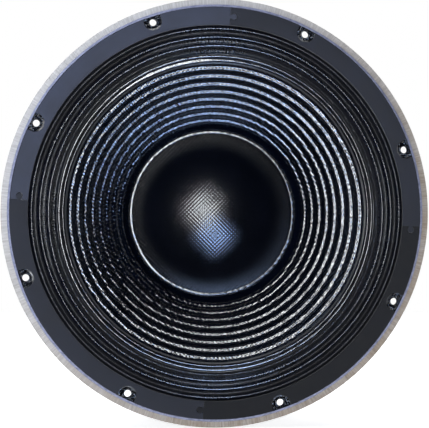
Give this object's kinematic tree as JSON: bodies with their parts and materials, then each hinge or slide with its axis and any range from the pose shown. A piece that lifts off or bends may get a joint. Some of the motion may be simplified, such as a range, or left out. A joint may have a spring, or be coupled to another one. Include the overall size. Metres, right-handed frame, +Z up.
{
  "type": "car subwoofer speaker",
  "caption": "Round 15-inch cone loudspeaker driver with ribbed paper cone, pleated surround, cast basket, ferrite motor and push terminals.",
  "frame": {"origin": "on the driver's axis, in the plane of the flange's rear face, which rests on the baffle", "axes": "-Y is the way the cone radiates, +Y goes back along the axis to the motor, +Z is up, +X is to the right as seen from the front"},
  "size_m": [0.389, 0.1579, 0.389],
  "materials": {
    "basket_paint": "satin black paint on cast aluminium, turned bare at the rim",
    "gasket_rubber": "matte dark slate foam rubber",
    "cone_paper": "black coated paper",
    "surround_cloth": "black lacquered pleated cloth",
    "cap_paper": "matte black woven cloth on paper",
    "spider_cloth": "resin-stiffened cotton",
    "former_laminate": "glass-fibre laminate",
    "winding_copper": "enamelled copper wire",
    "motor_steel": "black coated steel",
    "magnet_ferrite": "ground ferrite",
    "ring_aluminium": "turned",
    "screen_steel": "perforated",
    "screw_zinc": "zinc plated",
    "board_laminate": "phenolic laminate",
    "terminal_nickel": "nickel plated",
    "button_red": "moulded",
    "button_black": "moulded",
    "lead_braid": "woven tinsel braid"
  },
  "bodies": {
    "frame": {"basket": "basket_paint", "gasket_segment_1": "gasket_rubber", "gasket_segment_2": "gasket_rubber", "gasket_segment_3": "gasket_rubber", "gasket_segment_4": "gasket_rubber", "top_plate": "motor_steel", "magnet": "magnet_ferrite", "back_plate_and_pole": "motor_steel", "shorting_ring": "ring_aluminium", "vent_screen": "screen_steel", "plate_screw_1": "screw_zinc", "plate_screw_2": "screw_zinc", "plate_screw_3": "screw_zinc", "plate_screw_4": "screw_zinc", "plate_screw_5": "screw_zinc", "plate_screw_6": "screw_zinc", "plate_screw_7": "screw_zinc", "plate_screw_8": "screw_zinc", "terminal_board": "board_laminate", "terminal_post_positive": "terminal_nickel", "terminal_spring_positive": "terminal_nickel", "board_screw_positive_side": "screw_zinc", "terminal_post_negative": "terminal_nickel", "terminal_spring_negative": "terminal_nickel", "board_screw_negative_side": "screw_zinc"},
    "cone_assembly": {"cone": "cone_paper", "surround": "surround_cloth", "dust_cap": "cap_paper", "spider": "spider_cloth", "coil_former": "former_laminate", "coil_winding": "winding_copper", "coil_lead_positive": "lead_braid", "coil_lead_negative": "lead_braid"},
    "button_positive": {"terminal_button_positive": "button_red"},
    "button_negative": {"terminal_button_negative": "button_black"}
  },
  "joints": [
    {"name": "cone_excursion", "type": "slide", "parent": "frame", "child": "cone_assembly", "axis": [0, 1, 0], "range_m": [-0.008, 0.008], "stiffness_N_per_m": 7000, "deforming": ["surround", "spider", "coil_lead_positive", "coil_lead_negative"]},
    {"name": "positive_button_press", "type": "slide", "parent": "frame", "child": "button_positive", "axis": [0.8957, 0, -0.4446], "range_m": [0, 0.003], "stiffness_N_per_m": 1500, "springref_m": -0.001, "deforming": ["terminal_spring_positive"]},
    {"name": "negative_button_press", "type": "slide", "parent": "frame", "child": "button_negative", "axis": [0.8957, 0, -0.4446], "range_m": [0, 0.003], "stiffness_N_per_m": 1500, "springref_m": -0.001, "deforming": ["terminal_spring_negative"]}
  ]
}
